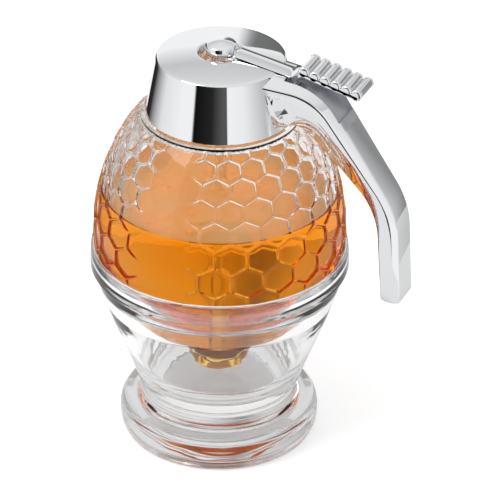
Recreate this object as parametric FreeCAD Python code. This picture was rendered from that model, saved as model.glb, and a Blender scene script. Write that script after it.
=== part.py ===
import FreeCAD, Part

"""Honey dispenser: a glass jar with a press lever, standing in its own glass stand.

Millimetres, +Z up. The origin lies on the jar's axis at the underside of the stand's foot.
The handle and the lever reach out along +X. Every solid is made from the sizes below.
"""
import math
import os

Vector = FreeCAD.Vector
AXIS = Vector(0, 0, 1)

# ---- clearances -----------------------------------------------------------------------------
RUN_GAP = 0.35          # between a moving piece and what it moves past
PIN_GAP = 0.05          # radial clearance of the lever on its pin
NEST_GAP = 0.15         # jar to stand at the lip, where the jar rests
NEST_DROP = 2.0         # how much deeper the stand's nest is than the jar's lower bowl
NECK_GAP = 0.15         # jar neck to cap bore

# ---- glass stand ----------------------------------------------------------------------------
STAND_HEIGHT = 75.8     # top of the lip
FOOT_RADIUS = 35.8      # widest ring of the foot
FOOT_CONTACT = 33.2     # outer edge of the ring that touches the table
FOOT_EDGE = 11.4        # height of the foot's thick edge
FOOT_SHELF = 30.6       # where the foot's top shelf meets the waist
FOOT_HOLLOW = 26.0      # radius of the shallow hollow underneath
FOOT_HOLLOW_DEPTH = 0.8
WAIST_RADIUS = 27.4
WAIST_TOP = 20.0        # where the bowl starts above the waist
BOWL_START = 28.6       # outer radius of the bowl at the top of the waist
BOWL_BULGE = 0.8        # how far the bowl stands out from a straight cone
BAND_HEIGHT = 8.3       # the plain band round the rim, with its lip
BAND_FLARE = 0.3        # the band is this much wider at its lower edge
BAND_STEP = 1.1         # undercut below the band
LIP_WIDTH = 1.35        # glass outside the nest at the lip
STAND_WALL = 3.8
STAND_FLOOR = 22.0      # height of the floor inside the stand

# ---- glass jar ------------------------------------------------------------------------------
JAR_RADIUS = 44.5       # at its widest ring
JAR_ABOVE_LIP = 4.6     # the widest ring stands this far above the stand's lip
JAR_UPPER = 61.4        # half axis of the upper half, which is half an ellipse
JAR_LOWER = 39.5        # half axis of the lower bowl
JAR_WALL = 3.0
SHOULDER_RADIUS = 28.2  # where the egg shape stops below the cap
SHOULDER_RISE = 1.0     # rounded step up to the flat seat of the cap
NECK_RADIUS = 20.5
NECK_HEIGHT = 12.0      # above the seat of the cap
NOZZLE_RADIUS = 11.3
NOZZLE_WALL = 2.5
NOZZLE_BOTTOM = 29.0    # height of the nozzle's mouth
NOZZLE_FLOOR = 2.2      # thickness of the ring that the stopper closes
NOZZLE_MOUTH = 4.2      # radius of the hole that honey runs out of
HONEY_LEVEL = 97.0

# ---- cap ------------------------------------------------------------------------------------
CAP_HEIGHT = 21.5       # of the cone, up to the edge of the top
CAP_FOOT_RADIUS = 26.4
CAP_TOP_RADIUS = 22.7
CAP_DOME = 1.8          # rise of the top from its edge to its hole
CAP_EDGE_ROUND = 0.9
CAP_HOLE = 7.9          # radius of the hole that the knob stands in

# ---- handle, one moulding with the cap -------------------------------------------------------
FINGER_GAP = 19.6       # jar to handle at the handle's lower end
HANDLE_END = 69.6       # height of the handle's lower end
HANDLE_THICK = 7.3      # at the lower end, seen from the side
HANDLE_WIDTH = 14.0     # at the lower end, seen from outside
HANDLE_FACE = 11.5      # width of the flat outer face between its bevels
HANDLE_BEVEL = 2.6      # depth of the bevels
HANDLE_INNER = 12.4     # width of the face towards the jar
ROOT_WIDTH = 22.8       # across the top of the handle where it leaves the cap
END_CHAMFER = 1.2
SIDE_WALL = 1.6         # between the pad's channel and the recess in each side
RECESS_START = 5.8      # top of the recess where it leaves the cap, below the edge of the cap's top
RECESS_REACH = 21.5     # from the edge of the cap's top to the far end of the recess
RECESS_DROP = 18.6      # of the recess's far end
RECESS_LOW = 14.8       # lower corner of the recess beside the cap
POCKET_DEPTH = 2.0      # deeper corner pocket between cap and handle
POCKET_LOW = 14.2       # foot of the pocket, below the edge of the cap's top
POCKET_REACH = 7.0      # of the pocket's far corner

# ---- lever and its pin -----------------------------------------------------------------------
PIN_RADIUS = 1.5
PIN_REACH = 2.1         # pin axis outside the edge of the cap's top
PIN_DROP = 6.3          # pin axis below the edge of the cap's top
PIN_PROUD = 0.5         # pin ends stand out of the recess floor
LEVER_WIDTH = 7.5
LEVER_THICK = 3.0
LEVER_RISE = 3.0        # top of the lever beside the knob, above the edge of the cap's top
LEVER_SLOPE = 9.5       # degrees that the lever falls towards the handle
LUG_RADIUS = 3.0        # round the pin
PAD_WIDTH = 12.0
PAD_SLOPE = 13.4        # degrees
PAD_PLATE = 1.7
KNEE_REACH = 2.4        # from the pin axis to where the lever widens towards the pad
PAD_START = 6.9         # from the pin axis to the inner edge of the pad
PAD_LIFT = 9.5          # of the first roll's axis above the pin axis
ROLL_COUNT = 6
ROLL_RADIUS = 2.0
ROLL_PITCH = 4.04
PRONG_THICK = 2.6       # of the fork under the knob, seen from the side
PRONG_REACH = 0.9       # the prongs' round noses lie this far past the jar's axis

# ---- plunger: knob, rod and stopper ----------------------------------------------------------
KNOB_RADIUS = 5.5
KNOB_SIDE = 2.9         # height of the knob's straight side
KNOB_DOME = 1.5
KNOB_NECK = 1.7         # radius of the neck that the fork holds
KNOB_NECK_LENGTH = 4.5
KNOB_ABOVE_PRONGS = 0.3
ROD_RADIUS = 2.1
STOPPER_RADIUS = 6.2
STOPPER_SIDE = 2.2
STOPPER_CONE = 2.4
ROD_IN_STOPPER = 2.8
LIFT = 5.0              # travel of the plunger

# ---- heights and places that follow from the sizes above -------------------------------------
JAR_WIDEST_Z = STAND_HEIGHT + JAR_ABOVE_LIP


def ellipse_radius(radius, half_axis, z):
    """Radius of an egg half at height z; half_axis is negative below the widest ring."""
    share = (z - JAR_WIDEST_Z) / half_axis
    return radius * math.sqrt(1 - share * share)


def ellipse_height(radius, half_axis, at_radius):
    """Height at which an egg half has a given radius."""
    return JAR_WIDEST_Z + half_axis * math.sqrt(1 - (at_radius / radius) ** 2)


EGG_TOP_Z = ellipse_height(JAR_RADIUS, JAR_UPPER, SHOULDER_RADIUS)
CAP_SEAT_Z = EGG_TOP_Z + SHOULDER_RISE
CAP_EDGE_Z = CAP_SEAT_Z + CAP_HEIGHT
NECK_TOP_Z = CAP_SEAT_Z + NECK_HEIGHT
PIN_X = CAP_TOP_RADIUS + PIN_REACH
PIN_Z = CAP_EDGE_Z - PIN_DROP
PRONG_TOP_Z = CAP_EDGE_Z + CAP_DOME - KNOB_ABOVE_PRONGS
KNOB_Z = PRONG_TOP_Z + KNOB_ABOVE_PRONGS
STOPPER_Z = NOZZLE_BOTTOM + NOZZLE_FLOOR
LIP_RADIUS = JAR_RADIUS + NEST_GAP + LIP_WIDTH
HANDLE_X = JAR_RADIUS + FINGER_GAP


def dome_rise(radius, rise, at_radius):
    """Height of a shallow round dome above its edge, at a distance from the axis."""
    ball = (radius * radius + rise * rise) / (2 * rise)
    return math.sqrt(ball * ball - at_radius * at_radius) - (ball - rise)


# ---- drawing helpers -------------------------------------------------------------------------
class Outline:
    """A closed outline in the XZ plane, drawn edge by edge from its first point."""

    def __init__(self, x, z):
        self.first = self.here = Vector(x, 0, z)
        self.edges = []

    def line(self, x, z):
        self.edges.append(Part.makeLine(self.here, Vector(x, 0, z)))
        self.here = Vector(x, 0, z)
        return self

    def arc(self, through_x, through_z, x, z):
        end = Vector(x, 0, z)
        self.edges.append(Part.Arc(self.here, Vector(through_x, 0, through_z), end).toShape())
        self.here = end
        return self

    def egg(self, radius, half_axis, to_z):
        """Along an egg half, from the height of the last point to height to_z."""
        side = Vector(radius, 0, JAR_WIDEST_Z)
        pole = Vector(0, 0, JAR_WIDEST_Z + half_axis)
        centre = Vector(0, 0, JAR_WIDEST_Z)
        tall = abs(half_axis) > radius
        curve = Part.Ellipse(pole, side, centre) if tall else Part.Ellipse(side, pole, centre)
        turn = math.acos if tall else math.asin
        ends = sorted(turn((z - JAR_WIDEST_Z) / half_axis) for z in (self.here.z, to_z))
        self.edges.append(Part.ArcOfEllipse(curve, ends[0], ends[1]).toShape())
        self.here = Vector(ellipse_radius(radius, half_axis, to_z), 0, to_z)
        return self

    def face(self):
        if (self.here - self.first).Length > 1e-6:
            self.line(self.first.x, self.first.z)
        return Part.Face(Part.Wire(Part.__sortEdges__(self.edges)))

    def turned(self):
        """The solid that the outline makes when it is turned about the jar's axis."""
        return self.face().revolve(Vector(0, 0, 0), AXIS, 360)

    def pushed(self, low_y, high_y):
        """The solid that the outline makes between two depths."""
        face = self.face()
        face.translate(Vector(0, low_y, 0))
        return face.extrude(Vector(0, high_y - low_y, 0))


def cylinder(radius, low_z, high_z):
    return Part.makeCylinder(radius, high_z - low_z, Vector(0, 0, low_z), AXIS)


def bar_along_y(radius, half_length, x, z):
    return Part.makeCylinder(radius, 2 * half_length, Vector(x, -half_length, z), Vector(0, 1, 0))


def mirrored(shape):
    """The same shape on the other side of the handle's middle plane."""
    return shape.mirror(Vector(0, 0, 0), Vector(0, 1, 0))


def one_solid(shape):
    solids = shape.removeSplitter().Solids
    if len(solids) != 1:
        raise ValueError("expected one solid, got %d" % len(solids))
    return solids[0]


# ---- stand -----------------------------------------------------------------------------------
def bowl_arc(start_radius, start_z, end_radius, end_z):
    """The point half way along the bowl's wall, pushed out from the straight line."""
    return (start_radius + end_radius) / 2 + BOWL_BULGE, (start_z + end_z) / 2


def make_stand():
    band_low = STAND_HEIGHT - BAND_HEIGHT
    band_radius = LIP_RADIUS + BAND_FLARE
    bowl_end = band_radius - BAND_STEP
    lip_middle = LIP_RADIUS - LIP_WIDTH / 2
    body = Outline(0, FOOT_HOLLOW_DEPTH)
    body.line(FOOT_HOLLOW - FOOT_HOLLOW_DEPTH, FOOT_HOLLOW_DEPTH).line(FOOT_HOLLOW, 0)
    body.line(FOOT_CONTACT, 0)
    body.arc(FOOT_RADIUS, 0.6 * FOOT_EDGE, FOOT_RADIUS - 0.9, FOOT_EDGE)
    body.arc(FOOT_RADIUS - 1.6, FOOT_EDGE + 0.9, FOOT_RADIUS - 2.8, FOOT_EDGE + 1.1)
    body.line(FOOT_SHELF, FOOT_EDGE + 1.5)
    body.arc(WAIST_RADIUS, (FOOT_EDGE + WAIST_TOP) / 2 + 1.2, BOWL_START, WAIST_TOP)
    middle = bowl_arc(BOWL_START, WAIST_TOP, bowl_end, band_low)
    body.arc(middle[0], middle[1], bowl_end, band_low)
    body.line(band_radius, band_low).line(LIP_RADIUS, STAND_HEIGHT - 2.6)
    body.arc(lip_middle + 0.5, STAND_HEIGHT - 0.6, lip_middle - 0.4, STAND_HEIGHT)
    body.line(0, STAND_HEIGHT)

    room = Outline(0, STAND_FLOOR)
    spread = (bowl_end - BOWL_START) / (band_low - WAIST_TOP)
    top_radius = bowl_end + spread * BAND_HEIGHT - STAND_WALL
    low_radius = BOWL_START - STAND_WALL
    low_z = STAND_FLOOR + 6.0
    room.line(low_radius - 7.0, STAND_FLOOR)
    room.arc(low_radius - 1.2, STAND_FLOOR + 1.8, low_radius + 1.5, low_z)
    middle = bowl_arc(low_radius + 1.5, low_z, top_radius, STAND_HEIGHT)
    room.arc(middle[0], middle[1], top_radius, STAND_HEIGHT).line(0, STAND_HEIGHT)

    nest = Outline(JAR_RADIUS + NEST_GAP, JAR_WIDEST_Z)
    nest_low = JAR_WIDEST_Z - 0.9 * JAR_LOWER
    nest.egg(JAR_RADIUS + NEST_GAP, -(JAR_LOWER + NEST_DROP), nest_low)
    nest.line(0, nest_low).line(0, JAR_WIDEST_Z)
    return one_solid(body.turned().cut(room.turned()).cut(nest.turned()))


# ---- jar and honey ---------------------------------------------------------------------------
def jar_outside():
    nozzle_top = ellipse_height(JAR_RADIUS, -JAR_LOWER, NOZZLE_RADIUS + 3.0)
    outline = Outline(0, NECK_TOP_Z)
    outline.line(NECK_RADIUS, NECK_TOP_Z).line(NECK_RADIUS, CAP_SEAT_Z)
    outline.line(SHOULDER_RADIUS - 1.0, CAP_SEAT_Z)
    outline.arc(SHOULDER_RADIUS - 0.25, CAP_SEAT_Z - 0.3, SHOULDER_RADIUS, EGG_TOP_Z)
    outline.egg(JAR_RADIUS, JAR_UPPER, JAR_WIDEST_Z).egg(JAR_RADIUS, -JAR_LOWER, nozzle_top)
    outline.arc(NOZZLE_RADIUS + 0.7, nozzle_top - 1.3, NOZZLE_RADIUS, nozzle_top - 3.4)
    outline.line(NOZZLE_RADIUS, NOZZLE_BOTTOM + 1.0).line(NOZZLE_RADIUS - 1.0, NOZZLE_BOTTOM)
    outline.line(0, NOZZLE_BOTTOM)
    return outline.turned()


def jar_inside():
    """The room inside the jar, from the stopper's seat to the neck's top."""
    radius, upper, lower = JAR_RADIUS - JAR_WALL, JAR_UPPER - JAR_WALL, JAR_LOWER - JAR_WALL
    throat = NECK_RADIUS - JAR_WALL
    nozzle = NOZZLE_RADIUS - NOZZLE_WALL
    ceiling_z = CAP_SEAT_Z - JAR_WALL
    wall_z = ceiling_z - 1.5
    nozzle_z = ellipse_height(radius, -lower, nozzle)
    outline = Outline(0, NECK_TOP_Z)
    outline.line(throat, NECK_TOP_Z).line(throat, ceiling_z + 0.6)
    outline.line(ellipse_radius(radius, upper, wall_z) - 1.2, ceiling_z)
    outline.line(ellipse_radius(radius, upper, wall_z), wall_z)
    outline.egg(radius, upper, JAR_WIDEST_Z).egg(radius, -lower, nozzle_z)
    outline.line(nozzle, STOPPER_Z).line(0, STOPPER_Z)
    return outline.turned()


def make_jar():
    mouth = cylinder(NOZZLE_MOUTH, NOZZLE_BOTTOM - 1.0, STOPPER_Z + 1.0)
    return one_solid(jar_outside().cut(jar_inside()).cut(mouth))


def make_honey():
    above = cylinder(2 * JAR_RADIUS, HONEY_LEVEL, NECK_TOP_Z + 1.0)
    rod_way = cylinder(ROD_RADIUS + RUN_GAP, STOPPER_Z - 1.0, HONEY_LEVEL + 1.0)
    stopper_top = STOPPER_Z + STOPPER_SIDE + STOPPER_CONE + LIFT + RUN_GAP
    stopper_way = cylinder(STOPPER_RADIUS + RUN_GAP, STOPPER_Z - 1.0, stopper_top)
    return one_solid(jar_inside().cut(above).cut(rod_way).cut(stopper_way))


# ---- cap and handle --------------------------------------------------------------------------
def rounded_path(corners, radii):
    """Straight runs joined by tangent arcs. Returns one function of t (0 to 1) for each piece."""
    pieces = []
    here = corners[0]
    for before, corner, after, radius in zip(corners, corners[1:], corners[2:], radii):
        way_in = (corner - before).normalize()
        way_out = (after - corner).normalize()
        turn = way_in.getAngle(way_out)
        tangent = radius * math.tan(turn / 2)
        start, end = corner - way_in * tangent, corner + way_out * tangent
        centre = corner + (way_out - way_in).normalize() * (radius / math.cos(turn / 2))
        pieces.append(lambda t, a=here, b=start: a + (b - a) * t)
        pieces.append(lambda t, a=start, c=centre, w=way_in, u=turn, r=radius:
                      c + (a - c) * math.cos(u * t) + w * (r * math.sin(u * t)))
        here = end
    pieces.append(lambda t, a=here, b=corners[-1]: a + (b - a) * t)
    return pieces


def handle_paths():
    """Side view of the handle: the line of its outer face and the line of its inner face."""
    outer_x = HANDLE_X + HANDLE_THICK
    top = CAP_EDGE_Z
    outer = [
        Vector(CAP_TOP_RADIUS - 5.7, 0, top),
        Vector(CAP_TOP_RADIUS + 17.5, 0, top - 1.9),
        Vector(outer_x - 1.8, 0, top - 45.4),
        Vector(outer_x, 0, HANDLE_END + END_CHAMFER),
    ]
    inner = [
        Vector(CAP_TOP_RADIUS - 1.7, 0, CAP_SEAT_Z + 1.2),
        Vector(CAP_TOP_RADIUS + 9.9, 0, CAP_SEAT_Z + 5.7),
        Vector(HANDLE_X - 2.4, 0, top - 44.5),
        Vector(HANDLE_X, 0, HANDLE_END + END_CHAMFER),
    ]
    return rounded_path(outer, (22.0, 32.0)), rounded_path(inner, (6.0, 28.0))


def section(outer, inner, fall):
    """The six corners of the handle's cross-section; fall is 0 at the cap, 1 at the lower end."""
    side = HANDLE_WIDTH / 2 + (ROOT_WIDTH - HANDLE_WIDTH) / 2 * (1 - fall) ** 2.4
    edge = outer + (inner - outer).normalize() * HANDLE_BEVEL
    half = [(outer, HANDLE_FACE / 2), (edge, side), (inner, HANDLE_INNER / 2)]
    right = [Vector(p.x, w, p.z) for p, w in half]
    left = [Vector(p.x, -w, p.z) for p, w in reversed(half)]
    return right + left


def make_handle():
    """Six long curves through the corners of the cross-sections, with a strip between each two."""
    outer, inner = handle_paths()
    stations = [(piece, t) for piece in range(5) for t in (0, 0.25, 0.5, 0.75)] + [(4, 1)]
    middles = [(outer[piece](t) + inner[piece](t)) / 2 for piece, t in stations]
    along = [0.0]
    for here, after in zip(middles, middles[1:]):
        along.append(along[-1] + (after - here).Length)
    shares = [a / along[-1] for a in along]
    rings = [section(outer[p](t), inner[p](t), share) for (p, t), share in zip(stations, shares)]
    rails = []
    for corner in range(6):
        rail = Part.BSplineCurve()
        rail.interpolate(Points=[ring[corner] for ring in rings], Parameters=shares)
        rails.append(rail.toShape())
    faces = [Part.makeRuledSurface(a, b) for a, b in zip(rails, rails[1:] + rails[:1])]
    ends = [Part.makePolygon(ring + ring[:1]) for ring in (rings[0], rings[-1])]
    faces += [Part.Face(end) for end in ends]
    arm = Part.makeSolid(Part.makeShell(faces))
    arm.fix(1e-4, 1e-4, 1e-3)
    tip = Part.makeLoft([ends[1], tip_section(ends[1])], True, True)
    return arm.fuse(tip)


def tip_section(wire):
    """The handle's end face: the last section, drawn in by the chamfer all round."""
    centre = wire.CenterOfMass
    thick = wire.BoundBox.XLength
    points = []
    for vertex in wire.OrderedVertexes:
        away = vertex.Point - centre
        x = centre.x + away.x * (1 - 2 * END_CHAMFER / thick)
        y = away.y * (1 - 2 * END_CHAMFER / HANDLE_WIDTH)
        points.append(Vector(x, y, HANDLE_END))
    return Part.makePolygon(points + points[:1])


def side_recess():
    """Shallow panel below the top edge of each side of the handle."""
    x, top = CAP_TOP_RADIUS, CAP_EDGE_Z
    outline = Outline(x - 0.8, top - RECESS_START)
    outline.arc(x + 11.5, top - RECESS_START - 3.0, x + RECESS_REACH, top - RECESS_DROP)
    outline.arc(x + 13.0, top - 13.6, x + 3.6, top - RECESS_LOW)
    return outline.pushed(side_floor(), ROOT_WIDTH)


def corner_pocket():
    """Deeper three-cornered pocket between the cap and the web."""
    outline = Outline(CAP_TOP_RADIUS + 0.3, PIN_Z - PIN_RADIUS)
    outline.line(CAP_TOP_RADIUS + 2.7, CAP_EDGE_Z - POCKET_LOW)
    outline.line(CAP_TOP_RADIUS + POCKET_REACH, CAP_EDGE_Z - POCKET_LOW + 2.0)
    outline.line(PIN_X + PIN_RADIUS, PIN_Z - PIN_RADIUS - 1.0)
    return outline.pushed(side_floor() - POCKET_DEPTH, ROOT_WIDTH)


def lever_channel():
    """The open slot that the lever lies and moves in, wider where the pad comes down."""
    reach = LUG_RADIUS + RUN_GAP
    fall = math.tan(math.radians(LEVER_SLOPE))
    start_z = CAP_EDGE_Z + LEVER_RISE - LEVER_THICK - RUN_GAP
    high = CAP_EDGE_Z + 20
    wide_x = PIN_X + KNEE_REACH - 2 * RUN_GAP
    slot = Outline(0, high).line(0, start_z)
    slot.line(PIN_X - reach, start_z - fall * (PIN_X - reach - KNOB_RADIUS))
    slot.line(PIN_X - reach, PIN_Z)
    slot.arc(PIN_X, PIN_Z - reach, PIN_X + 0.8 * reach, PIN_Z - 0.6 * reach)
    slot.line(PIN_X + 2 * reach, PIN_Z - 0.6 * reach)
    slot.line(PIN_X + 2 * reach, high)
    pad = Outline(wide_x, high).line(wide_x, PIN_Z + 0.4).line(CAP_TOP_RADIUS + 14.0, PIN_Z - 1.2)
    pad.line(CAP_TOP_RADIUS + 23.2, PIN_Z - 8.0).line(CAP_TOP_RADIUS + 26.2, PIN_Z - 5.6)
    pad.line(CAP_TOP_RADIUS + 40.0, high)
    narrow, wide = LEVER_WIDTH / 2 + RUN_GAP, PAD_WIDTH / 2 + RUN_GAP
    return slot.pushed(-narrow, narrow).fuse(pad.pushed(-wide, wide))


def side_floor():
    """Depth of the recess floor from the handle's middle plane."""
    return PAD_WIDTH / 2 + RUN_GAP + SIDE_WALL


def pin_half_length():
    """The pin ends just proud of the floor of the side recess."""
    return side_floor() + PIN_PROUD


def make_cap():
    shell = Outline(0, CAP_SEAT_Z).line(CAP_FOOT_RADIUS, CAP_SEAT_Z)
    shell.line(CAP_TOP_RADIUS, CAP_EDGE_Z)
    half_way = CAP_TOP_RADIUS / 2
    rise = dome_rise(CAP_TOP_RADIUS, CAP_DOME, half_way)
    shell.arc(half_way, CAP_EDGE_Z + rise, 0, CAP_EDGE_Z + CAP_DOME)
    cone = shell.turned()
    level = [e for e in cone.Edges if e.BoundBox.ZLength < 0.01]
    rim = [e for e in level if abs(e.BoundBox.ZMax - CAP_EDGE_Z) < 0.01]
    cone = cone.makeFillet(CAP_EDGE_ROUND, rim)
    body = cone.fuse(make_handle())
    body = body.cut(cylinder(NECK_RADIUS + NECK_GAP, CAP_SEAT_Z - 30, NECK_TOP_Z + 0.5))
    body = body.cut(cylinder(CAP_HOLE, CAP_SEAT_Z, CAP_EDGE_Z + 10))
    body = body.cut(lever_channel())
    body = body.cut(bar_along_y(PIN_RADIUS, ROOT_WIDTH, PIN_X, PIN_Z))
    for cutter in (side_recess(), corner_pocket()):
        keep = cutter.cut(cone)
        body = body.cut(keep).cut(mirrored(keep))
    return one_solid(body)


# ---- lever and pin ---------------------------------------------------------------------------
def make_pin():
    return bar_along_y(PIN_RADIUS, pin_half_length(), PIN_X, PIN_Z)


def make_lever():
    fall = math.tan(math.radians(LEVER_SLOPE))
    dip = math.tan(math.radians(PAD_SLOPE))
    step_x = KNOB_RADIUS + 0.6
    top_z = CAP_EDGE_Z + LEVER_RISE
    knee_x = PIN_X + KNEE_REACH
    wide_x = PIN_X + LUG_RADIUS + 1.0
    pad_x = PIN_X + PAD_START
    roll_x, roll_z = pad_x + 1.7, PIN_Z + PAD_LIFT
    pad_end = roll_x + (ROLL_COUNT - 1) * ROLL_PITCH * math.cos(math.radians(PAD_SLOPE)) + 0.8
    prong_mid = PRONG_TOP_Z - PRONG_THICK / 2
    prong_low = PRONG_TOP_Z - PRONG_THICK

    def plate_z(x):
        return roll_z - (x - roll_x) * dip

    def bar_low(x):
        return top_z - LEVER_THICK - (x - step_x) * fall

    side = Outline(-PRONG_REACH, prong_low)
    side.arc(-PRONG_REACH - PRONG_THICK / 2, prong_mid, -PRONG_REACH, PRONG_TOP_Z)
    side.line(step_x, PRONG_TOP_Z).line(step_x, top_z).line(knee_x, top_z - (knee_x - step_x) * fall)
    side.line(pad_x, plate_z(pad_x)).line(pad_end, plate_z(pad_end))
    side.line(pad_end, plate_z(pad_end) - PAD_PLATE)
    side.line(pad_x + 1.2, plate_z(pad_x + 1.2) - PAD_PLATE)
    side.line(wide_x, bar_low(wide_x)).line(PIN_X + LUG_RADIUS, PIN_Z)
    side.arc(PIN_X, PIN_Z - LUG_RADIUS, PIN_X - LUG_RADIUS, PIN_Z)
    side.line(PIN_X - LUG_RADIUS, bar_low(PIN_X - LUG_RADIUS))
    side.line(step_x + 1.0, bar_low(step_x + 1.0))
    side.line(step_x - 1.0, prong_low)

    half, wide = LEVER_WIDTH / 2, PAD_WIDTH / 2
    plan_points = [(-10, -half), (wide_x, -half), (pad_x + 0.6, -wide), (pad_end + 5, -wide)]
    plan = [Vector(x, y, 0) for x, y in plan_points]
    plan += [Vector(x, -y, 0) for x, y in reversed(plan_points)]
    plan_solid = Part.Face(Part.makePolygon(plan + plan[:1])).extrude(Vector(0, 0, 4 * CAP_EDGE_Z))

    lever = side.pushed(-wide, wide).common(plan_solid)
    for i in range(ROLL_COUNT):
        x = roll_x + i * ROLL_PITCH * math.cos(math.radians(PAD_SLOPE))
        roll = bar_along_y(ROLL_RADIUS, wide, x, plate_z(x))
        lever = lever.fuse(roll.makeFillet(0.45, [e for e in roll.Edges if e.BoundBox.YLength < 0.01]))
    slot = KNOB_NECK + RUN_GAP
    gap = Part.makeBox(10, 2 * slot, 20, Vector(-10, -slot, PRONG_TOP_Z - 10))
    lever = lever.cut(gap).cut(cylinder(slot, PRONG_TOP_Z - 10, PRONG_TOP_Z + 10))
    return one_solid(lever.cut(bar_along_y(PIN_RADIUS + PIN_GAP, PAD_WIDTH, PIN_X, PIN_Z)))


# ---- plunger ---------------------------------------------------------------------------------
def make_knob():
    side_top = KNOB_Z + KNOB_SIDE
    outline = Outline(0, KNOB_Z - KNOB_NECK_LENGTH).line(KNOB_NECK, KNOB_Z - KNOB_NECK_LENGTH)
    outline.line(KNOB_NECK, KNOB_Z).line(KNOB_RADIUS - 0.3, KNOB_Z).line(KNOB_RADIUS, KNOB_Z + 0.3)
    outline.line(KNOB_RADIUS, side_top)
    half_way = KNOB_RADIUS / 2
    rise = dome_rise(KNOB_RADIUS, KNOB_DOME, half_way)
    outline.arc(half_way, side_top + rise, 0, side_top + KNOB_DOME)
    return one_solid(outline.turned())


def make_rod():
    low_z = STOPPER_Z + STOPPER_SIDE + STOPPER_CONE - ROD_IN_STOPPER
    return cylinder(ROD_RADIUS, low_z, KNOB_Z - KNOB_NECK_LENGTH)


def make_stopper():
    top = STOPPER_Z + STOPPER_SIDE + STOPPER_CONE
    outline = Outline(0, STOPPER_Z).line(STOPPER_RADIUS, STOPPER_Z)
    outline.line(STOPPER_RADIUS, STOPPER_Z + STOPPER_SIDE).line(ROD_RADIUS + 1.0, top).line(0, top)
    return one_solid(outline.turned().cut(cylinder(ROD_RADIUS, top - ROD_IN_STOPPER, top + 1.0)))


# ---- all pieces ------------------------------------------------------------------------------
PIECES = {
    "stand": make_stand,
    "jar": make_jar,
    "honey": make_honey,
    "cap": make_cap,
    "pivot_pin": make_pin,
    "lever": make_lever,
    "knob": make_knob,
    "rod": make_rod,
    "stopper": make_stopper,
}


def main():
    os.makedirs("parts", exist_ok=True)
    for name, make in PIECES.items():
        solid = make()
        solid.exportStep("parts/%s.step" % name)
        box = solid.BoundBox
        low = "%6.1f %6.1f %6.1f" % (box.XMin, box.YMin, box.ZMin)
        high = "%6.1f %6.1f %6.1f" % (box.XMax, box.YMax, box.ZMax)
        print("%-10s %7.0f mm3  from %s to %s" % (name, solid.Volume, low, high))
    print("cap seat %.2f  cap edge %.2f  pin %.2f %.2f" % (CAP_SEAT_Z, CAP_EDGE_Z, PIN_X, PIN_Z))


main()
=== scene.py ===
# %% [markdown]
# # A honey dispenser
# A clear glass jar with raised honeycomb cells holds honey. A thumb lever on the chromed cap
# lifts a rod, and the rod lifts a stopper out of the nozzle under the jar. Between servings the
# jar rests in a glass stand that catches the last drop.
#
# The engineering model gives the frame: where each piece is, how large it is and what it moves
# with. Here every piece gets its finished surface. The frame is loaded first, and nothing in it
# is moved.

# %% Load the frame
import bpy
import bmesh
import math
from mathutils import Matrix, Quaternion, Vector


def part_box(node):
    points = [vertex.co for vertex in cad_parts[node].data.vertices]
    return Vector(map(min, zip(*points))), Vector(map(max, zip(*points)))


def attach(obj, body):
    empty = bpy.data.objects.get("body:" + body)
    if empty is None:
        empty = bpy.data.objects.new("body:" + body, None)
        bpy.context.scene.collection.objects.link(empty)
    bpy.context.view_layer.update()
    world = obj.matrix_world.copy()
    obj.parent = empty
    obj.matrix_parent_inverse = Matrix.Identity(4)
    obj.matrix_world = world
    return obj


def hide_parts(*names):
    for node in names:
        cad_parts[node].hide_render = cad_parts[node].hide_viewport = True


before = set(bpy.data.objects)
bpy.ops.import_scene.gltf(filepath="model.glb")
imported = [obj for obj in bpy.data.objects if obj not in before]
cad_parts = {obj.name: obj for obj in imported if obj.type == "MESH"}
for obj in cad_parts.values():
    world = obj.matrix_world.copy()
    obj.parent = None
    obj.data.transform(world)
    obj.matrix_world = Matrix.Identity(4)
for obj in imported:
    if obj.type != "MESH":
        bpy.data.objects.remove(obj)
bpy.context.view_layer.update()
print("nodes:", sorted(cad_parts))

# %% [markdown]
# ## Sizes
# The sizes below are the ones the real pieces are made to, in millimetres. Heights that the frame
# already knows, such as the honey's level, are read from it.

# %% Sizes
MM = 0.001


def low(node):
    """Lowest corner of a node, in millimetres."""
    return [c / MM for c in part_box(node)[0]]


def high(node):
    """Highest corner of a node, in millimetres."""
    return [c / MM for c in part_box(node)[1]]


WIDEST_Z = 80.4          # height of the jar's widest ring
EGG_RADIUS = 44.5
EGG_UP, EGG_DOWN = 61.4, 39.5
WALL = 3.0
SEAT_Z = 128.9           # where the cap sits on the shoulder
SHOULDER_RADIUS = 28.2
NECK_RADIUS, NECK_TOP_Z = 20.5, high("jar")[2]
NOZZLE_RADIUS, NOZZLE_WALL, NOZZLE_LOW_Z = 11.3, 2.5, low("jar")[2]
NOZZLE_MOUTH = 4.2       # radius of the hole that the stopper closes
HONEY_Z = high("honey")[2]
CAP_EDGE_Z = 150.4
PIN_X, PIN_Z = 24.8, 144.1
print("honey stands at %.1f mm, neck ends at %.1f mm" % (HONEY_Z, NECK_TOP_Z))

# %% [markdown]
# ## Camera
# The object is seen from the front left, from a long way off with a long lens, so that uprights
# stay upright and the rings look like clean ellipses.

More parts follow.
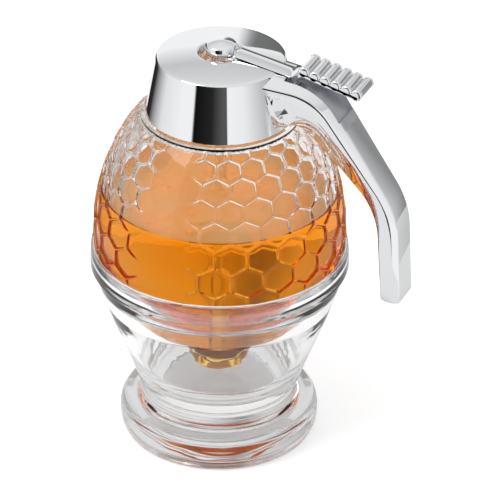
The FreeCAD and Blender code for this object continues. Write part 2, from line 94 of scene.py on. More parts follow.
# %% Camera
AZIMUTH, ELEVATION = math.radians(23.0), math.radians(30.7)
DISTANCE = 1.50
toward = Vector((math.sin(AZIMUTH) * math.cos(ELEVATION),
                 -math.cos(AZIMUTH) * math.cos(ELEVATION), math.sin(ELEVATION)))
right = Vector((math.cos(AZIMUTH), math.sin(AZIMUTH), 0))
up = toward.cross(right)
camera_data = bpy.data.cameras.new("camera")
camera_data.lens = 302.6
camera_data.sensor_width = 36
camera = bpy.data.objects.new("camera", camera_data)
bpy.context.scene.collection.objects.link(camera)
aim = Vector((0, 0, 0.0758)) + right * 0.0108 - up * 0.0034
camera.location = aim + toward * DISTANCE
level_turn = (-toward).to_track_quat("-Z", "Y")
camera.rotation_euler = (level_turn @ Quaternion((0, 0, 1), math.radians(0.57))).to_euler()
bpy.context.scene.camera = camera
print("camera stands %.2f m away" % DISTANCE)

# %% [markdown]
# ## Light
# A bright, even studio: the sky is white, and a few dark strips stand round the table. Glass and
# chrome have no colour of their own, so what they mirror and bend is what the eye reads as their
# shape. Strips that only mirrors and glass can see give them their dark lines.

# %% World
scene = bpy.context.scene
scene.view_settings.view_transform = "Standard"
# Light crosses many walls of glass here, so its paths may be long.
scene.cycles.max_bounces = 32
scene.cycles.transmission_bounces = 32
scene.cycles.glossy_bounces = 12
world = bpy.data.worlds.new("studio")
scene.world = world
world.use_nodes = True


def nodes_of(owner):
    """The node tree of a material or world, emptied."""
    tree = owner.node_tree
    tree.nodes.clear()
    return tree


def add(tree, kind, inputs=None, **settings):
    """Adds a node, sets its settings, and fills or links its inputs by name or number."""
    node = tree.nodes.new(kind)
    for name, value in settings.items():
        setattr(node, name, value)
    for key, value in (inputs or {}).items():
        socket = node.inputs[key]
        if isinstance(value, bpy.types.NodeSocket):
            tree.links.new(value, socket)
        else:
            socket.default_value = value
    return node


def ramp(tree, factor, stops, interpolation="LINEAR"):
    """A colour ramp; stops are (place, grey) or (place, colour)."""
    node = add(tree, "ShaderNodeValToRGB", {"Fac": factor})
    node.color_ramp.interpolation = interpolation
    elements = node.color_ramp.elements
    while len(elements) > 1:
        elements.remove(elements[-1])
    for i, (place, colour) in enumerate(stops):
        if not hasattr(colour, "__len__"):
            colour = (colour, colour, colour)
        element = elements[0] if i == 0 else elements.new(place)
        element.position = place
        element.color = (*colour, 1)
    return node.outputs["Color"]


tree = nodes_of(world)
# Mirrors and glass see a pale grey high sky that turns white lower down.
where = add(tree, "ShaderNodeTexCoord").outputs["Generated"]
height = add(tree, "ShaderNodeSeparateXYZ", {0: where}).outputs["Z"]
sky = ramp(tree, height, [(0.0, 1.0), (0.40, 1.0), (0.56, 0.62), (0.75, 0.8), (1.0, 0.9)])
path = add(tree, "ShaderNodeLightPath").outputs
seen_directly = add(tree, "ShaderNodeBackground", {"Color": (1, 1, 1, 1), "Strength": 1.0})
seen_in_mirrors = add(tree, "ShaderNodeBackground", {"Color": sky, "Strength": 1.0})
lighting = add(tree, "ShaderNodeBackground", {"Color": (1, 1, 1, 1), "Strength": 0.75})
sharp = add(tree, "ShaderNodeMath", {0: path["Is Glossy Ray"], 1: path["Is Transmission Ray"]},
            operation="MAXIMUM").outputs[0]
mixed = add(tree, "ShaderNodeMixShader", {0: sharp, 1: lighting.outputs[0],
                                          2: seen_in_mirrors.outputs[0]})
mixed = add(tree, "ShaderNodeMixShader", {0: path["Is Camera Ray"], 1: mixed.outputs[0],
                                          2: seen_directly.outputs[0]})
add(tree, "ShaderNodeOutputWorld", {"Surface": mixed.outputs[0]})

# %% [markdown]
# Chrome and glass need something dark beside them. A photographer stands grey and black cards
# round a shiny thing for this. Here one closed band stands round the object and a colour ramp
# paints the cards on it, which is simpler than many single cards. One band is seen only by
# mirrors and a paler one only through glass, because the two want different greys.

# %% Ring of cards
CARD_RING, CARD_FOOT, CARD_HEIGHT, CARD_SIDES = 0.20, 0.0005, 0.24, 96
LOW_CARDS_TOP = 0.06     # below this height, in metres, the cards have greys of their own
bm = bmesh.new()
low_row, high_row = [], []
for k in range(CARD_SIDES):
    a = 2 * math.pi * k / CARD_SIDES
    x, y = CARD_RING * math.sin(a), -CARD_RING * math.cos(a)
    low_row.append(bm.verts.new((x, y, CARD_FOOT)))
    high_row.append(bm.verts.new((x, y, CARD_HEIGHT)))
for k in range(CARD_SIDES):
    n = (k + 1) % CARD_SIDES
    bm.faces.new((low_row[k], high_row[k], high_row[n], low_row[n]))
card_mesh = bpy.data.meshes.new("cards")
bm.to_mesh(card_mesh)
bm.free()
cards = bpy.data.objects.new("cards", card_mesh)
scene.collection.objects.link(cards)
card_finish = bpy.data.materials.new("card_greys")
card_finish.use_nodes = True
tree = nodes_of(card_finish)


def height_on(tree):
    """The height of the shaded spot, in metres, on the object's own coordinates."""
    place = add(tree, "ShaderNodeTexCoord").outputs["Object"]
    return add(tree, "ShaderNodeSeparateXYZ", {0: place}).outputs["Z"]


def direction_round(tree):
    """The direction round the table, 0 to 1, with 0.5 at -Y and 0.75 at +X."""
    place = add(tree, "ShaderNodeTexCoord").outputs["Object"]
    parts = add(tree, "ShaderNodeSeparateXYZ", {0: place}).outputs
    minus_y = add(tree, "ShaderNodeMath", {0: parts["Y"], 1: -1.0}, operation="MULTIPLY").outputs[0]
    angle = add(tree, "ShaderNodeMath", {0: parts["X"], 1: minus_y}, operation="ARCTAN2").outputs[0]
    return add(tree, "ShaderNodeMath", {0: angle, 1: 1 / (2 * math.pi), 2: 0.5},
               operation="MULTIPLY_ADD").outputs[0]


turn = direction_round(tree)
upper = ramp(tree, turn, [
    (0.00, 0.12), (0.045, 0.2), (0.055, 1.0), (0.145, 1.0), (0.150, 0.01), (0.20, 0.03),
    (0.30, 0.85), (0.40, 1.0), (0.452, 1.0), (0.458, 0.005), (0.53, 0.02), (0.575, 0.10),
    (0.590, 0.10), (0.594, 1.0), (0.66, 0.95), (0.76, 0.55), (0.82, 0.9), (0.87, 0.28),
    (0.93, 0.4), (0.985, 0.9), (0.99, 0.12)])
lower = ramp(tree, turn, [
    (0.00, 0.15), (0.045, 0.2), (0.055, 1.0), (0.145, 1.0), (0.150, 0.01), (0.20, 0.03),
    (0.30, 0.85), (0.36, 0.9), (0.490, 0.85), (0.495, 0.01), (0.61, 0.02), (0.62, 1.0), (0.70, 1.0),
    (0.84, 0.75), (0.92, 0.5), (0.985, 0.7), (0.99, 0.15)])
is_upper = add(tree, "ShaderNodeMath", {0: height_on(tree), 1: LOW_CARDS_TOP},
               operation="GREATER_THAN").outputs[0]
lower_glow = add(tree, "ShaderNodeEmission", {"Color": lower, "Strength": 1.0})
upper_glow = add(tree, "ShaderNodeEmission", {"Color": upper, "Strength": 1.0})
glow = add(tree, "ShaderNodeMixShader", {0: is_upper, 1: lower_glow.outputs[0],
                                         2: upper_glow.outputs[0]})
add(tree, "ShaderNodeOutputMaterial", {"Surface": glow.outputs[0]})
card_mesh.materials.append(card_finish)
cards.visible_transmission = False

pale_cards = bpy.data.objects.new("pale_cards", card_mesh.copy())
scene.collection.objects.link(pale_cards)
pale_cards.visible_glossy = False
pale_finish = bpy.data.materials.new("card_pale_greys")
pale_finish.use_nodes = True
tree = nodes_of(pale_finish)
turn = direction_round(tree)
pale = ramp(tree, turn, [
    (0.00, 1.0), (0.05, 1.0), (0.09, 0.35), (0.12, 0.9), (0.21, 0.55), (0.235, 0.08), (0.26, 0.6),
    (0.33, 1.0), (0.58, 1.0), (0.66, 0.8), (0.70, 0.45), (0.73, 0.8), (0.80, 0.9), (0.86, 0.4),
    (0.90, 1.0)])
glow = add(tree, "ShaderNodeEmission", {"Color": pale, "Strength": 1.0})
add(tree, "ShaderNodeOutputMaterial", {"Surface": glow.outputs[0]})
pale_cards.data.materials[0] = pale_finish
for ring in (cards, pale_cards):
    ring.visible_camera = False
    ring.visible_diffuse = False
    ring.visible_shadow = False
    ring.visible_volume_scatter = False
print("cards: %d sides, %.2f m from the middle" % (CARD_SIDES, CARD_RING))

# %% [markdown]
# One large soft lamp gives the floor a faint shadow; most light comes from the sky. The floor is
# white paint. For the camera and for rays through glass it also glows a little, so that it meets
# the white sky without an edge. Mirrors see only the paint, or the chrome would wash out.

# %% Lamp and floor


def area_lamp(name, place, size, power):
    """A square soft lamp that faces the middle of the table."""
    lamp = bpy.data.lights.new(name, "AREA")
    lamp.shape = "SQUARE"
    lamp.size = size
    lamp.energy = power
    holder = bpy.data.objects.new(name, lamp)
    scene.collection.objects.link(holder)
    holder.location = place
    holder.rotation_euler = Vector(place).to_track_quat("Z", "Y").to_euler()


area_lamp("key_lamp", (-0.7, -0.9, 1.3), 0.8, 9.0)

floor_mesh = bpy.data.meshes.new("floor")
FAR = 40                 # metres from the middle to the floor's sides
floor_mesh.from_pydata([(-FAR, -FAR, 0), (FAR, -FAR, 0), (FAR, FAR, 0), (-FAR, FAR, 0)], [],
                       [(0, 1, 2, 3)])
floor = bpy.data.objects.new("floor", floor_mesh)
scene.collection.objects.link(floor)
floor_finish = bpy.data.materials.new("floor_white")
floor_finish.use_nodes = True
tree = nodes_of(floor_finish)
paint = add(tree, "ShaderNodeBsdfPrincipled", {"Base Color": (0.9, 0.9, 0.9, 1), "Roughness": 0.9})
glow = add(tree, "ShaderNodeEmission", {"Color": (1, 1, 1, 1), "Strength": 0.42})
path = add(tree, "ShaderNodeLightPath").outputs
seen = add(tree, "ShaderNodeMath", {0: path["Is Transmission Ray"], 1: path["Is Camera Ray"]},
           operation="MAXIMUM").outputs[0]
lift = add(tree, "ShaderNodeMixShader", {0: seen, 2: glow.outputs[0]})
both = add(tree, "ShaderNodeAddShader", {0: paint.outputs[0], 1: lift.outputs[0]})
add(tree, "ShaderNodeOutputMaterial", {"Surface": both.outputs[0]})
floor_mesh.materials.append(floor_finish)
print("one lamp, floor %d m across" % (2 * FAR))

# %% [markdown]
# ## Finishes
# Clear glass, honey, chrome plating, and a little satin metal, steel and plastic.
# Each starts from the Principled shader. Pressed glass is never perfectly flat, so a broad, very
# faint bump makes what is seen through it swim a little.

# %% Finishes


def finish(name, **settings):
    """A material with a Principled shader, and its tree, shader and output node."""
    material = bpy.data.materials.new(name)
    material.use_nodes = True
    tree = nodes_of(material)
    inputs = {key.replace("_", " ").title().replace("Ior", "IOR"): value
              for key, value in settings.items()}
    shader = add(tree, "ShaderNodeBsdfPrincipled", inputs)
    output = add(tree, "ShaderNodeOutputMaterial", {"Surface": shader.outputs[0]})
    return material, tree, shader, output


def noise(tree, scale, detail=2.0, stretch=(1, 1, 1)):
    """Noise on the object's own coordinates; scale counts per metre."""
    place = add(tree, "ShaderNodeTexCoord").outputs["Object"]
    place = add(tree, "ShaderNodeMapping", {"Vector": place, "Scale": stretch}).outputs[0]
    grain = add(tree, "ShaderNodeTexNoise", {"Vector": place, "Scale": scale, "Detail": detail})
    return grain.outputs[0]


def bump(tree, shader, height, strength, distance):
    """Makes a height, such as noise, tilt the surface that light meets."""
    node = add(tree, "ShaderNodeBump",
               {"Height": height, "Strength": strength, "Distance": distance})
    tree.links.new(node.outputs[0], shader.inputs["Normal"])


RAMP_HEIGHT = 0.16       # metres; a height ramp runs from the table to just above the cap


def by_height(tree, stops):
    """A grey that changes with height; stops are (metres, grey)."""
    share = add(tree, "ShaderNodeMath", {0: height_on(tree), 1: RAMP_HEIGHT},
                operation="DIVIDE").outputs[0]
    return ramp(tree, share, [(z / RAMP_HEIGHT, value) for z, value in stops])


def glass(name, tint_and_painted_shade, mirror, scale, depth, stretch=(1, 1, 1)):
    """Clear glass; tint_and_painted_shade and mirror are lists of (height in metres, strength). A
    tint that darkens lower down is partly painted shade.
    """
    material, tree, shader, output = finish(name, roughness=0.0, ior=1.47, transmission_weight=1.0)
    if len(tint_and_painted_shade) == 1:
        shader.inputs["Base Color"].default_value = (*tint_and_painted_shade[0], 1)
    else:
        # A tint that changes with height paints shade onto the glass, over the glass's own colour.
        tree.links.new(by_height(tree, tint_and_painted_shade), shader.inputs["Base Color"])
    tree.links.new(by_height(tree, mirror), shader.inputs["Specular Tint"])
    bump(tree, shader, noise(tree, scale, 1.5, stretch), 1.0, depth)
    return material


HONEY_TOP = HONEY_Z * MM
jar_glass = glass("jar_glass", [(0.994, 0.996, 0.995)],
                  [(0.0, 0.07), (HONEY_TOP, 0.07), (HONEY_TOP + 0.004, 0.8)], 60, 0.00006)
# The foot is thick and stands under the jar, in its shade: its darker tint is partly the thick
# glass and partly painted shade.
stand_glass = glass("stand_glass", [(0.0208, 0.72), (0.0304, 0.94)],
                    [(0.0, 0.6), (0.05, 0.3), (0.064, 0.3), (0.068, 1.0)], 45, 0.00012, (1, 1, 3))

# The nozzle is wet with honey, so its glass looks amber.
wet_glass, tree, shader, output = finish("wet_glass", base_color=(0.99, 0.60, 0.10, 1),
                                         roughness=0.08, ior=1.48, transmission_weight=1.0)
bump(tree, shader, noise(tree, 120, 2), 1.0, 0.0001)



def fill_with_honey(tree, output):
    """Honey takes light away inside, most of all the blue."""
    amber = add(tree, "ShaderNodeVolumeAbsorption",
                {"Color": (0.962, 0.765, 0.08, 1), "Density": 80.0})
    tree.links.new(amber.outputs[0], output.inputs["Volume"])


honey_finish, tree, shader, output = finish(
    "honey", base_color=(1, 1, 1, 1), roughness=0.0, ior=1.49, transmission_weight=1.0,
    specular_tint=(0.03, 0.03, 0.03, 1))
fill_with_honey(tree, output)

# The top of the honey is a little uneven, with a dried, cloudy skin. Light that honey scatters
# inside comes out here, and a faint glow stands in for it.
honey_top, tree, shader, output = finish(
    "honey_film", base_color=(1, 1, 1, 1), roughness=0.06, ior=1.49, transmission_weight=1.0,
    specular_tint=(0.3, 0.3, 0.3, 1), emission_color=(1.0, 0.42, 0.02, 1), emission_strength=0.42)
bump(tree, shader, noise(tree, 90, 2), 0.5, 0.0006)
skin = add(tree, "ShaderNodeBsdfDiffuse", {"Color": (1.0, 0.70, 0.30, 1)})
cloud = ramp(tree, noise(tree, 55, 3), [(0.38, 0.30), (0.62, 0.55)])
both = add(tree, "ShaderNodeMixShader", {0: cloud, 1: shader.outputs[0], 2: skin.outputs[0]})
tree.links.new(both.outputs[0], output.inputs["Surface"])
fill_with_honey(tree, output)

chrome, tree, shader, output = finish("chrome", base_color=(0.86, 0.87, 0.88, 1), metallic=1.0,
                                      roughness=0.03)
tarnish = ramp(tree, noise(tree, 90, 4), [(0.35, 0.02), (0.8, 0.06)])
tree.links.new(tarnish, shader.inputs["Roughness"])

satin, tree, shader, output = finish("satin_metal", base_color=(0.60, 0.61, 0.64, 1), metallic=1.0,
                                     roughness=0.4)
brushed = ramp(tree, noise(tree, 300, 4), [(0.35, 0.3), (0.7, 0.5)])
tree.links.new(brushed, shader.inputs["Roughness"])

steel, tree, shader, output = finish("steel", base_color=(0.86, 0.83, 0.79, 1), metallic=1.0,
                                     roughness=0.1)
turned = ramp(tree, noise(tree, 300, 3, (1, 1, 12)), [(0.3, 0.06), (0.7, 0.14)])
tree.links.new(turned, shader.inputs["Roughness"])

plastic, tree, shader, output = finish("stopper_plastic", base_color=(0.86, 0.50, 0.10, 1),
                                       roughness=0.3)
bump(tree, shader, noise(tree, 500, 3), 0.2, 0.0001)
print("finishes:", [m.name for m in bpy.data.materials])

# %% [markdown]
# ## Turned pieces
# The stand, the honey, the cap and the plunger are all round about the jar's axis. Each is drawn
# as half an outline and turned, the way a potter or a lathe would make it. Corners get a small
# radius where the real piece has one, because a sharp glass edge has no highlight to show it.

# %% Turning


def arc(centre, radius, start, end, steps=8):
    """Points of an arc, angles in degrees."""
    angles = [math.radians(start + (end - start) * i / steps) for i in range(steps + 1)]
    return [(centre[0] + radius * math.cos(a), centre[1] + radius * math.sin(a)) for a in angles]


def soften(points, steps=5):
    """Rounds the corners that carry a radius: points are (r, z) or (r, z, radius)."""
    result = []
    for i, point in enumerate(points):
        if len(point) < 3 or i in (0, len(points) - 1):
            result.append(point[:2])
            continue
        here = Vector(point[:2])
        before = Vector(points[i - 1][:2]) - here
        after = Vector(points[i + 1][:2]) - here
        reach = min(point[2], 0.49 * before.length, 0.49 * after.length)
        start, end = here + before.normalized() * reach, here + after.normalized() * reach
        for k in range(steps + 1):
            t = k / steps
            result.append(tuple(start * (1 - t) ** 2 + here * 2 * t * (1 - t) + end * t * t))
    return result


def bend(points, steps=12):
    """A smooth curve through a few points (Catmull-Rom)."""
    line = [Vector(p) for p in points]
    line = [line[0] * 2 - line[1]] + line + [line[-1] * 2 - line[-2]]
    result = []
    for a, b, c, d in zip(line, line[1:], line[2:], line[3:]):
        for k in range(steps):
            t = k / steps
            result.append(tuple(0.5 * ((2 * b) + (c - a) * t + (2 * a - 5 * b + 4 * c - d) * t * t
                                       + (3 * b - a - 3 * c + d) * t ** 3)))
    return result + [tuple(points[-1])]


def make_object(name, bm, material, sharp_angle=None):
    """Turns a bmesh in millimetres into an object in metres, with its faces outwards."""
    bmesh.ops.remove_doubles(bm, verts=bm.verts, dist=1e-4)
    bmesh.ops.recalc_face_normals(bm, faces=bm.faces)
    if bm.calc_volume(signed=True) < 0:
        bmesh.ops.reverse_faces(bm, faces=bm.faces)
    bmesh.ops.scale(bm, vec=(MM, MM, MM), verts=bm.verts)
    mesh = bpy.data.meshes.new(name)
    bm.to_mesh(mesh)
    bm.free()
    mesh.shade_smooth()
    if sharp_angle:
        mesh.set_sharp_from_angle(angle=math.radians(sharp_angle))
    mesh.materials.append(material)
    piece = bpy.data.objects.new(name, mesh)
    scene.collection.objects.link(piece)
    print("%-14s %6d faces" % (name, len(mesh.polygons)))
    return piece


def turn_rings(bm, outline, count, start=None):
    """Adds rings of vertices along an outline of (r, z), joined by faces. Returns the last ring."""
    ring = start
    for r, z in outline:
        if r < 1e-6:
            pole = bm.verts.new((0, 0, z))
            new = [pole] * count
        else:
            new = [bm.verts.new((r * math.cos(2 * math.pi * k / count),
                                 r * math.sin(2 * math.pi * k / count), z)) for k in range(count)]
        if ring:
            for k in range(count):
                corners = [ring[k], ring[(k + 1) % count], new[(k + 1) % count], new[k]]
                unique = list(dict.fromkeys(corners))
                if len(unique) > 2:
                    bm.faces.new(unique)
        ring = new
    return ring


def turned_piece(name, outline, material, count=192, closed=False, sharp_angle=None):
    """A whole turned piece; a closed outline is one that goes round a hole."""
    bm = bmesh.new()
    points = list(outline)
    if closed:
        points.append(points[0])
    turn_rings(bm, points, count)
    return make_object(name, bm, material, sharp_angle)


# %% [markdown]
# ## Stand
# A thick foot with a rounded edge, a waist, a conical bowl and a plain band at the rim that the
# jar sits in. The rim's edges are fire-polished, so they are round.

# %% Stand
STAND_Z = high("stand")[2]
LIP = 46.0


def inner_egg(z, extra=0.0):
    """Radius of the jar's inner wall, or of the honey with a little extra."""
    half = (EGG_UP if z > WIDEST_Z else EGG_DOWN) - WALL
    share = min(1.0, abs(z - WIDEST_Z) / half)
    return (EGG_RADIUS - WALL + extra) * math.sqrt(1 - share * share)


nest_radius, nest_down = EGG_RADIUS + 0.15, EGG_DOWN + 2.0
nest = []
for i in range(13):
    z = 60.5 + (STAND_Z - 60.5) * i / 12
    nest.append((nest_radius * math.sqrt(1 - ((z - WIDEST_Z) / nest_down) ** 2), z))
stand_outline = soften([
    (0.0, 0.8), (24.0, 0.8), (25.4, 0.8, 0.5), (26.2, 0.0, 0.5), (33.0, 0.0, 1.5)]) \
    + bend([(34.0, 0.35), (35.4, 3.2), (35.85, 7.0), (35.5, 10.2), (34.4, 12.0), (32.6, 12.75),
            (30.9, 12.95), (29.9, 13.2)], 6) \
    + bend([(29.2, 13.9), (27.9, 15.8), (27.6, 17.6), (28.0, 19.2), (28.6, 20.2)], 6) \
    + bend([(29.2, 20.9), (32.9, 32.0), (37.6, 44.0), (41.8, 56.0), (45.0, 66.6)], 8) \
    + soften([(45.15, 67.1), (45.3, 67.4, 0.3), (46.2, 67.6, 0.5), (46.3, 68.6), (46.15, 73.0),
              (46.0, STAND_Z - 1.6), (45.9, STAND_Z - 0.2, 1.0), (45.2, STAND_Z, 0.5),
              (44.75, STAND_Z - 0.2, 0.3), (nest[-1][0], STAND_Z - 0.9)]) \
    + list(reversed(nest[:-1])) \
    + bend([(39.0, 56.0), (34.4, 44.0), (29.6, 32.0), (26.4, 27.2), (24.0, 24.0), (20.0, 22.3),
            (14.0, 22.0)], 8) + [(0.0, 22.0)]
stand = turned_piece("stand_glass_piece", stand_outline, stand_glass, 256)
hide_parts("stand")
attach(stand, "dispenser")

# %% [markdown]
# ## Honeycomb
# The jar's wall carries rows of raised ridges that shut in flat six-sided cells, twenty-four
# cells to a row. One cell is drawn flat, as rings from the ridge's crest down to its floor.
# Geometry Nodes repeat it in staggered rows, roll the sheet round the egg and push the ridges
# out. The rows get shorter and the cells smaller towards the cap by the same share, so they stay
# six-sided all the way up. Front and back keep a smooth patch where the cells stop.

# %% One cell
CELLS_ROUND = 24
PITCH = 2 * math.pi / CELLS_ROUND
ROW_STEP = 0.2034          # from row to row, as a share of the radius
TOP_ROW = 1.3004
ROWS = 8
RIDGE = 0.75               # height of the ridges
FIRST_CELL = math.radians(-90 - 1.3)
PANEL_MIDDLE, PANEL_HALF = math.radians(-4.5), math.radians(11.5)


def cell_template():
    """A cell one unit wide; its "lift" is 1 on the ridge's crest and 0 on the floor."""
    tall = (ROW_STEP / PITCH) / (math.sqrt(3) / 2)
    corners = [(math.sin(math.radians(60 * k)) / math.sqrt(3),
                math.cos(math.radians(60 * k)) / math.sqrt(3) * tall) for k in range(6)]
    rings = [(1.0, 1.0), (0.975, 0.95), (0.95, 0.74), (0.92, 0.38), (0.892, 0.08), (0.865, -0.02),
             (0.6, -0.08), (0.3, -0.12)]
    verts, lifts, faces = [], [], []
    per_side = 4
    count = 6 * per_side
    for size, height in rings:
        rounding = min(1.0, (1.0 - size) * 7)
        for side in range(6):
            a, b = corners[side], corners[(side + 1) % 6]
            for k in range(per_side):
                t = k / per_side
                x, y = a[0] + (b[0] - a[0]) * t, a[1] + (b[1] - a[1]) * t
                # Corners of the floor are a little round.
                pull = 1 - 0.03 * rounding * (1 - min(1.0, 4 * min(t, 1 - t)))
                verts.append((x * size * pull, y * size * pull, 0))
                lifts.append(height)
    verts.append((0, 0, 0))
    lifts.append(-0.14)
    for ring in range(len(rings) - 1):
        for k in range(count):
            a, b = ring * count + k, ring * count + (k + 1) % count
            faces.append((a, b, b + count, a + count))
    last = (len(rings) - 1) * count
    for k in range(count):
        faces.append((last + k, last + (k + 1) % count, len(verts) - 1))
    mesh = bpy.data.meshes.new("cell")
    mesh.from_pydata(verts, [], [tuple(reversed(f)) for f in faces])
    attribute = mesh.attributes.new("lift", "FLOAT", "POINT")
    for i, value in enumerate(lifts):
        attribute.data[i].value = value
    return mesh


cell = bpy.data.objects.new("cell", cell_template())
scene.collection.objects.link(cell)


def egg_radius(z):
    half = EGG_UP if z > WIDEST_Z else EGG_DOWN
    return EGG_RADIUS * math.sqrt(max(0.0, 1 - ((z - WIDEST_Z) / half) ** 2))


def climb(low_z, high_z, steps=600):
    """(row place, height) pairs: the row place grows by the path's length over the radius."""
    table, place = [], 0.0
    z = WIDEST_Z
    table.append((0.0, z))
    for direction, end in ((1, high_z), (-1, low_z)):
        place, z = 0.0, WIDEST_Z
        step = (end - WIDEST_Z) / steps
        for i in range(steps):
            r0, r1 = egg_radius(z), egg_radius(z + step)
            place += math.hypot(step, r1 - r0) / ((r0 + r1) / 2) * direction
            z += step
            table.append((place, z))
    return sorted(table)


SKIN_LOW, SKIN_HIGH = 72.0, 127.9
table = climb(SKIN_LOW, SKIN_HIGH)
LOW_PLACE, HIGH_PLACE = table[0][0], table[-1][0]
print("rows run from %.3f to %.3f" % (LOW_PLACE, HIGH_PLACE))

# %% [markdown]
# The tree works on the flat sheet first: it sets out cells, and where each point lies round and up
# the egg. Rolling the sheet is plain arithmetic on the points, so a cell never loses its shape
# to a modifier that only bends.

# %% Honeycomb tree


def geometry_tree(name, inputs):
    """A tree with named inputs, as (label, kind, value), and one geometry output."""
    tree = bpy.data.node_groups.new(name, "GeometryNodeTree")
    for label, kind, value in inputs:
        socket = tree.interface.new_socket(label, in_out="INPUT", socket_type=kind)
        if value is not None:
            socket.default_value = value
    tree.interface.new_socket("Geometry", in_out="OUTPUT", socket_type="NodeSocketGeometry")
    return tree, tree.nodes.new("NodeGroupInput").outputs


FLOAT, INT = "NodeSocketFloat", "NodeSocketInt"
tree, given = geometry_tree("honeycomb", [
    ("Cell", "NodeSocketObject", None), ("Cells Round", INT, CELLS_ROUND), ("Rows", INT, ROWS),
    ("Pitch", FLOAT, PITCH), ("Row Step", FLOAT, ROW_STEP), ("Top Row", FLOAT, TOP_ROW),
    ("First Cell", FLOAT, FIRST_CELL), ("Radius", FLOAT, EGG_RADIUS), ("Upper Half", FLOAT, EGG_UP),
    ("Lower Half", FLOAT, EGG_DOWN), ("Widest Height", FLOAT, WIDEST_Z), ("Ridge", FLOAT, RIDGE),
    ("Glass", "NodeSocketMaterial", None)])


def m(operation, a, b=None, c=None):
    """Arithmetic in the tree that is being built."""
    inputs = {key: value for key, value in enumerate((a, b, c)) if value is not None}
    return add(tree, "ShaderNodeMath", inputs, operation=operation).outputs[0]


count = m("MULTIPLY", given["Cells Round"], given["Rows"])
index = add(tree, "GeometryNodeInputIndex").outputs[0]
row = m("FLOOR", m("DIVIDE", m("ADD", index, 0.5), given["Cells Round"]))
column = m("SUBTRACT", index, m("MULTIPLY", row, given["Cells Round"]))
odd = m("FLOORED_MODULO", row, 2.0)
# The row next below the cap has a cell on the front line, and so has every second row.
steps_round = m("ADD", column, m("MULTIPLY", m("SUBTRACT", 1.0, odd), 0.5))
u = m("MULTIPLY", steps_round, given["Pitch"])
v = m("SUBTRACT", given["Top Row"], m("MULTIPLY", row, given["Row Step"]))
spot = add(tree, "ShaderNodeCombineXYZ", {0: u, 1: v}).outputs[0]
points = add(tree, "GeometryNodePoints", {"Count": count, "Position": spot}).outputs[0]
template = add(tree, "GeometryNodeObjectInfo", {"Object": given["Cell"]}).outputs["Geometry"]
size = add(tree, "ShaderNodeCombineXYZ", {0: given["Pitch"], 1: given["Pitch"], 2: 1.0}).outputs[0]
cells = add(tree, "GeometryNodeInstanceOnPoints",
            {"Points": points, "Instance": template, "Scale": size}).outputs[0]
sheet = add(tree, "GeometryNodeRealizeInstances", {0: cells}).outputs[0]
flat = add(tree, "ShaderNodeSeparateXYZ",
           {0: add(tree, "GeometryNodeInputPosition").outputs[0]}).outputs
around = m("ADD", flat["X"], given["First Cell"])
share = add(tree, "ShaderNodeMapRange", {"Value": flat["Y"], "From Min": LOW_PLACE,
                                         "From Max": HIGH_PLACE}).outputs[0]
curve = add(tree, "ShaderNodeFloatCurve", {"Value": share})
points_on_curve = curve.mapping.curves[0].points
while len(points_on_curve) > 2:
    points_on_curve.remove(points_on_curve[-2])
points_on_curve[0].location, points_on_curve[1].location = (0, 0), (1, 1)
for k in range(1, 16):
    target = LOW_PLACE + (HIGH_PLACE - LOW_PLACE) * k / 16
    height = min(table, key=lambda pair: abs(pair[0] - target))[1]
    points_on_curve.new(k / 16, (height - SKIN_LOW) / (SKIN_HIGH - SKIN_LOW))
curve.mapping.update()
z = m("MULTIPLY_ADD", curve.outputs[0], SKIN_HIGH - SKIN_LOW, SKIN_LOW)
above = m("SUBTRACT", z, given["Widest Height"])
is_up = m("GREATER_THAN", above, 0.0)
half = m("ADD", m("MULTIPLY", is_up, given["Upper Half"]),
         m("MULTIPLY", m("SUBTRACT", 1.0, is_up), given["Lower Half"]))
slant = m("DIVIDE", above, half)
radius = m("MULTIPLY", given["Radius"], m("SQRT", m("SUBTRACT", 1.0, m("MULTIPLY", slant, slant))))
out_r = m("DIVIDE", radius, m("MULTIPLY", given["Radius"], given["Radius"]))
out_z = m("DIVIDE", above, m("MULTIPLY", half, half))
length = m("SQRT", m("ADD", m("MULTIPLY", out_r, out_r), m("MULTIPLY", out_z, out_z)))
lift = add(tree, "GeometryNodeInputNamedAttribute", {"Name": "lift"}, data_type="FLOAT").outputs[0]
# The ridges sink into the smooth panels at the front and at the back.
off_panel = m("PINGPONG", m("ADD", around, math.pi / 2 - PANEL_MIDDLE), math.pi / 2)
ridged = add(tree, "ShaderNodeMapRange", {"Value": off_panel, "From Min": PANEL_HALF,
                                          "From Max": PANEL_HALF + math.radians(3.5)},
             interpolation_type="SMOOTHSTEP").outputs[0]
raised = m("MULTIPLY", lift, ridged)
fade = add(tree, "ShaderNodeMapRange", {"Value": z, "From Min": 74.5, "From Max": 77.5},
           interpolation_type="SMOOTHSTEP").outputs[0]
fade_top = add(tree, "ShaderNodeMapRange", {"Value": z, "From Min": 127.9, "From Max": 127.0},
               interpolation_type="SMOOTHSTEP").outputs[0]
height = m("MULTIPLY", m("MULTIPLY", raised, given["Ridge"]), m("MULTIPLY", fade, fade_top))
push = m("DIVIDE", height, length)
far = m("ADD", radius, m("MULTIPLY", out_r, push))
place = add(tree, "ShaderNodeCombineXYZ", {
    0: m("MULTIPLY", far, m("COSINE", around)), 1: m("MULTIPLY", far, m("SINE", around)),
    2: m("ADD", z, m("MULTIPLY", out_z, push))}).outputs[0]
skin = add(tree, "GeometryNodeSetPosition", {"Geometry": sheet, "Position": place}).outputs[0]
skin = add(tree, "GeometryNodeMergeByDistance", {"Geometry": skin, "Distance": 0.002}).outputs[0]
skin = add(tree, "GeometryNodeSetMaterial",
           {"Geometry": skin, "Material": given["Glass"]}).outputs[0]
add(tree, "NodeGroupOutput", {"Geometry": skin})


